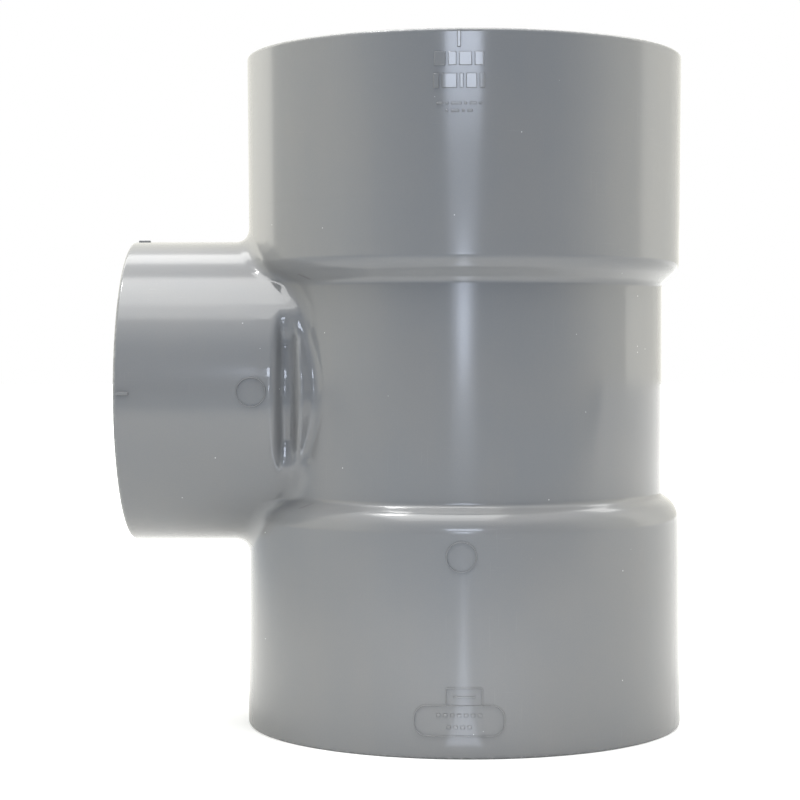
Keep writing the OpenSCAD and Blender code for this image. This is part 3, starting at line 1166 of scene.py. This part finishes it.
class TEE_OT_label(bpy.types.Operator):
    """Builds the outlined label area near the lower rim, with plain bars in it"""

    bl_idname = "tee.label"
    bl_label = "Label area"

    def execute(self, context):
        sizes, marks = context.scene.tee_sizes, context.scene.mark_sizes
        skin = on_run(sizes)
        place = seen_from_front("label_outline")
        bottom = place.middle[1] - place.size[1] / 2
        label_h = 12.8 * MM
        box_w, box_h, box_round, box_shift = 15.2 * MM, 7.6 * MM, 0.5 * MM, 2 * MM
        line = marks.line
        size = (place.size[0] - line, label_h - line)
        middle = (place.middle[0], bottom + label_h / 2)
        outlines = [outline_patch(skin, rounded_box_path(middle, size, marks.label_round), marks)]
        box_middle = (middle[0] + box_shift, bottom + label_h - line + box_h / 2)
        box_path = rounded_box_path(box_middle, (box_w - line, box_h - line), box_round)
        outlines.append(outline_patch(skin, box_path, marks))
        add_mark("label_outline_mark", outlines, "label_outline")
        bars = []
        for row in LABEL_ROWS:
            bars += bar_row_patches(skin, middle[0], bottom + row.up * MM, row, marks)
        bars += bar_row_patches(skin, box_middle[0], box_middle[1], BOX_BAR, marks)
        add_mark("label_bar_marks", bars, "label_bars")
        return {"FINISHED"}


class TEE_OT_parting_lines(bpy.types.Operator):
    """Builds the faint parting lines in the plane of the two axes"""

    bl_idname = "tee.parting_lines"
    bl_label = "Parting lines"

    def execute(self, context):
        sizes, marks = context.scene.tee_sizes, context.scene.mark_sizes
        rim = HALF_RUN - sizes.rim_round
        heights = np.linspace(-rim, rim, 240)
        back = np.stack([run_radius(sizes, heights), heights], axis=1)[::-1]
        outer, _ = run_walls(sizes)
        strip = strip_patch(sizes, outer.edge)
        turns = turns_of(outer.edge)
        sections = [back]
        for up in (1, -1):
            row = strip[np.argmin(np.abs(turns - up * math.pi / 2))]
            socket_heights = np.linspace(rim, OUTER_HOLE_R, 60)[:-1]
            socket = np.stack([-run_radius(sizes, up * socket_heights), up * socket_heights],
                              axis=1)
            branch_x = np.linspace(-BRANCH_JOINT, -BRANCH_REACH + sizes.rim_round, 24)[1:]
            branch = np.stack([branch_x, np.full_like(branch_x, up * BRANCH_R)], axis=1)
            path = np.concatenate([socket, row[::-1][:, [0, 2]], branch])
            sections.append(path if up < 0 else path[::-1])
        add_moulding("parting_line_marks", seam_patches(marks, sections))
        return {"FINISHED"}


# ---------------------------------------------------------------- operator: the studio


# Headings in degrees, 0 at the front and 90 on the right: the middle of the dim part of the
# room, the middle and half width of the white sweep, and the room's right
DIM_HEADING = 9
SWEEP_HEADING, SWEEP_HALF = 173, 67
RIGHT_HEADING = 90
# Cosines between which the light changes round those headings, and upwards
DIM_FADE = (0.95, 0.15)
SWEEP_MIDDLE, SWEEP_BLUR = 0.95, 0.02
SIDE_FADE = (-0.3, 0.3)
OVERHEAD_FADE = (0.5, 0.92)


def heading_vector(degrees):
    """A level direction."""
    turn = math.radians(degrees)
    return math.sin(turn), -math.cos(turn), 0.0


def facing(tree, level_ray, heading):
    """Cosine between a level ray and a heading."""
    return vector_node(tree, "DOT_PRODUCT", level_ray, heading_vector(heading))["Value"]


def add_world(look):
    """A white sweep behind the fitting, and a room that is dimmer in front of it. The camera
    sees plain white."""
    world = bpy.data.worlds.new("Studio room")
    world.use_nodes = True
    tree = world.node_tree
    tree.nodes.clear()
    ray = tree.nodes.new("ShaderNodeTexCoord").outputs["Generated"]
    level = vector_node(tree, "NORMALIZE", stretched(tree, ray, (1, 1, 0)))[0]
    edge = math.cos(math.radians(SWEEP_HALF))
    to_sweep = facing(tree, level, SWEEP_HEADING)
    sideways = range_node(tree, facing(tree, level, DIM_HEADING), *DIM_FADE)
    behind = range_node(tree, to_sweep, edge - SWEEP_BLUR, edge + SWEEP_BLUR)
    towards_edge = range_node(tree, to_sweep, SWEEP_MIDDLE, edge)
    sweep = mix_node(tree, towards_edge, opaque(look.sweep), opaque(look.sweep_edge))
    rightward = range_node(tree, facing(tree, level, RIGHT_HEADING), *SIDE_FADE)
    sides = mix_node(tree, rightward, opaque(look.left), opaque(look.right))
    room = mix_node(tree, sideways, opaque(look.front), sides)
    walls = mix_node(tree, behind, room, sweep)
    overhead = range_node(tree, split_node(tree, ray)["Z"], *OVERHEAD_FADE)
    light = mix_node(tree, overhead, walls, opaque(look.ceiling))
    seen = tree.nodes.new("ShaderNodeLightPath").outputs["Is Camera Ray"]
    shown = mix_node(tree, seen, light, opaque((1, 1, 1)))
    sky = tree.nodes.new("ShaderNodeBackground")
    tree.links.new(shown, sky.inputs["Color"])
    end = tree.nodes.new("ShaderNodeOutputWorld")
    tree.links.new(sky.outputs[0], end.inputs[0])
    bpy.context.scene.world = world


# The floor in metres from its middle, with the shares of dimness or glow it goes between
# Painted shade in front and on the left, seen by every ray but the camera's
DIM_AHEAD = (-0.35, -0.9)
DIM_ON_LEFT = (-0.2, -0.8, 0.0, 0.65)
# Painted glow of the flat floor from 0.8 m outwards, standing in for paper curving up into the
# light
PAINTED_GLOW_RANGE = (0.8, 2.2, 0.0, 0.5)
PAPER_SHOWN = (0.2, 0.9, 0.3, 0.8)


def floor_material(look):
    """Matt pale paper, laid flat. From 0.8 m outwards, behind the fitting and on its right, it
    has a painted glow that every ray sees, standing in for paper that curves up into the light.
    In front and on the left, rays other than the camera's see painted shade: a darker tint for
    the room's dim floor. The camera sees paper all over. It glows less close to the fitting,
    where its shadow shows, and is white farther out."""
    material = bpy.data.materials.new("studio_paper")
    material.use_nodes = True
    tree = material.node_tree
    shader = tree.nodes["Principled BSDF"]
    vector = tree.nodes.new("ShaderNodeTexCoord").outputs["Object"]
    place = split_node(tree, vector)
    distance = vector_node(tree, "LENGTH", vector)["Value"]
    in_front = range_node(tree, place["Y"], *DIM_AHEAD)
    on_left = range_node(tree, place["X"], *DIM_ON_LEFT)
    beyond = math_node(tree, "MAXIMUM", in_front, on_left)
    seen = tree.nodes.new("ShaderNodeLightPath").outputs["Is Camera Ray"]
    # Painted shade: in front and on the left, the floor is darker for every ray but the camera's,
    # standing in for the dim room
    dim = math_node(tree, "MULTIPLY", beyond, math_node(tree, "SUBTRACT", 1.0, seen))
    tint = mix_node(tree, dim, opaque(look.floor), opaque(look.painted_shade_floor))
    tree.links.new(tint, shader.inputs["Base Color"])
    # Painted glow: from 0.8 m outwards, behind the fitting and on its right, the flat floor glows
    # for every ray
    painted_far_glow = range_node(tree, distance, *PAINTED_GLOW_RANGE)
    glow_for_all_rays = math_node(tree, "MULTIPLY", painted_far_glow, math_node(tree, "SUBTRACT", 1.0, beyond))
    paper = range_node(tree, distance, *PAPER_SHOWN)
    glow = math_node(tree, "MAXIMUM", glow_for_all_rays, math_node(tree, "MULTIPLY", seen, paper))
    shader.inputs["Roughness"].default_value = 0.9
    shader.inputs["Emission Color"].default_value = opaque((1, 1, 1))
    tree.links.new(glow, shader.inputs["Emission Strength"])
    return material


def add_floor(look):
    """A round floor of rings, wide enough for every view."""
    radii = np.array([[0], [0.3], [1], [3], [10]])
    grid = about_run(np.linspace(0, 2 * math.pi, 65), radii, 0.0)
    mesh = bpy.data.meshes.new("studio_floor")
    points = grid.reshape(-1, 3)
    mesh.from_pydata(points.tolist(), [], grid_faces(*grid.shape[:2], 0).tolist())
    mesh.materials.append(floor_material(look))
    floor = bpy.data.objects.new("studio_floor", mesh)
    bpy.context.scene.collection.objects.link(floor)
    floor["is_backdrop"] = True


class Softbox(NamedTuple):
    """A rectangular light, in metres from the crossing of the axes. It faces the run's axis,
    or straight down or up. Brightness is its face's own."""

    name: str
    place: tuple
    size: tuple
    brightness: float
    tint: tuple
    faces: str = "fitting"


DAYLIGHT = (0.76, 0.84, 1.0)
NEUTRAL = (1.0, 1.0, 0.98)

SOFTBOXES = (
    Softbox("ceiling_front", (-0.25, -0.22, 1.4), (1.2, 0.7), 4.3, NEUTRAL, "down"),
    Softbox("ceiling_fade", (-0.25, -0.76, 1.4), (1.2, 0.38), 2.5, NEUTRAL, "down"),
    Softbox("ceiling_back", (0.1, 0.85, 1.4), (2.4, 0.5), 3.2, NEUTRAL, "down"),
    Softbox("ceiling_lamp", (-0.57, -0.06, 1.38), (0.2, 0.2), 30, NEUTRAL, "down"),
    Softbox("window_top", (0.0, -1.1, 0.285), (0.34, 0.13), 10.5, DAYLIGHT),
    Softbox("window_middle", (0.0, -1.1, 0.15), (0.28, 0.12), 1.3, DAYLIGHT),
    Softbox("window_sill", (0.0, -1.1, 0.055), (0.24, 0.06), 3.2, DAYLIGHT),
    Softbox("window_low", (0.0, -1.1, -0.03), (0.26, 0.09), 1.2, DAYLIGHT),
    Softbox("flash", (0.0, -0.95, 0.04), (0.1, 0.085), 7, DAYLIGHT),
    Softbox("floor_strip", (0.0, -0.5, -0.145), (0.024, 0.76), 3.2, DAYLIGHT, "up"),
)


def add_softbox(box):
    """Adds a softbox, which the camera doesn't see."""
    light = bpy.data.lights.new(box.name, "AREA")
    light.shape = "RECTANGLE"
    light.size, light.size_y = box.size
    light.energy = box.brightness * math.pi * box.size[0] * box.size[1]
    light.color = box.tint
    lamp = bpy.data.objects.new(box.name, light)
    place = Vector(box.place)
    lamp.location = place + Vector((0, 0, AXIS_Z))
    if box.faces == "fitting":
        away = Vector((place.x, place.y, 0))
        lamp.rotation_euler = away.to_track_quat("Z", "Y").to_euler()
    elif box.faces == "up":
        lamp.rotation_euler = (math.pi, 0, 0)
    lamp.visible_camera = False
    bpy.context.scene.collection.objects.link(lamp)


SENSOR_WIDTH = 36
CAMERA_X = 0.1 * MM
# Pan, tilt and roll in radians
CAMERA_TURNS = (-0.0299, -0.0225, 0.0008)


def add_camera(look):
    """The camera, level with the upper part of the branch and turned a little to its side."""
    data = bpy.data.cameras.new("studio_camera")
    data.lens = look.lens
    data.sensor_width = SENSOR_WIDTH
    camera = bpy.data.objects.new("studio_camera", data)
    pan, tilt, roll = CAMERA_TURNS
    ahead = Vector((math.sin(pan) * math.cos(tilt), math.cos(pan) * math.cos(tilt),
                    math.sin(tilt)))
    camera.rotation_euler = (
        ahead.to_track_quat("-Z", "Y").to_matrix() @ Matrix.Rotation(-roll, 3, "Z")
    ).to_euler()
    camera.location = (CAMERA_X, -look.distance, AXIS_Z + look.eye_height)
    bpy.context.scene.collection.objects.link(camera)
    bpy.context.scene.camera = camera


class TEE_OT_studio(bpy.types.Operator):
    """Sets up the pale floor, the soft lights and the camera"""

    bl_idname = "tee.studio"
    bl_label = "Studio"

    def execute(self, context):
        look = context.scene.studio_look
        context.scene.view_settings.view_transform = "Standard"
        add_world(look)
        add_floor(look)
        for softbox in SOFTBOXES:
            add_softbox(softbox)
        add_camera(look)
        return {"FINISHED"}


# ---------------------------------------------------------------- panel and registration


OPERATORS = (
    TEE_OT_run_sockets,
    TEE_OT_branch_socket,
    TEE_OT_run_body,
    TEE_OT_branch_saddle,
    TEE_OT_index_ribs,
    TEE_OT_witness_rings,
    TEE_OT_size_marks,
    TEE_OT_label,
    TEE_OT_parting_lines,
    TEE_OT_studio,
)


class VIEW3D_PT_tee(bpy.types.Panel):
    """Lists the steps that build the tee"""

    bl_label = "PVC reducing tee"
    bl_space_type = "VIEW_3D"
    bl_region_type = "UI"
    bl_category = "Tee"

    def draw(self, context):
        for operator in OPERATORS:
            self.layout.operator(operator.bl_idname)
        for settings in GROUPS:
            box = self.layout.box()
            group = getattr(context.scene, settings)
            for name in group.bl_rna.properties.keys():
                if name not in ("rna_type", "name"):
                    box.prop(group, name)


GROUPS = {
    "tee_sizes": TeeSizes,
    "mark_sizes": MarkSizes,
    "pvc_finish": PvcFinish,
    "studio_look": StudioLook,
}


def register():
    for name, group in GROUPS.items():
        bpy.utils.register_class(group)
        setattr(bpy.types.Scene, name, PointerProperty(type=group))
    for operator in OPERATORS:
        bpy.utils.register_class(operator)
    bpy.utils.register_class(VIEW3D_PT_tee)


def unregister():
    bpy.utils.unregister_class(VIEW3D_PT_tee)
    for operator in reversed(OPERATORS):
        bpy.utils.unregister_class(operator)
    for name, group in reversed(GROUPS.items()):
        delattr(bpy.types.Scene, name)
        bpy.utils.unregister_class(group)


def main():
    register()
    for operator in OPERATORS:
        family, name = operator.bl_idname.split(".")
        getattr(getattr(bpy.ops, family), name)()
    boxes = {"cad": CAD_BOX, "visual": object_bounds()}
    {name: [list(corner) for corner in box] for name, box in boxes.items()}


if __name__ == "__main__":
    main()
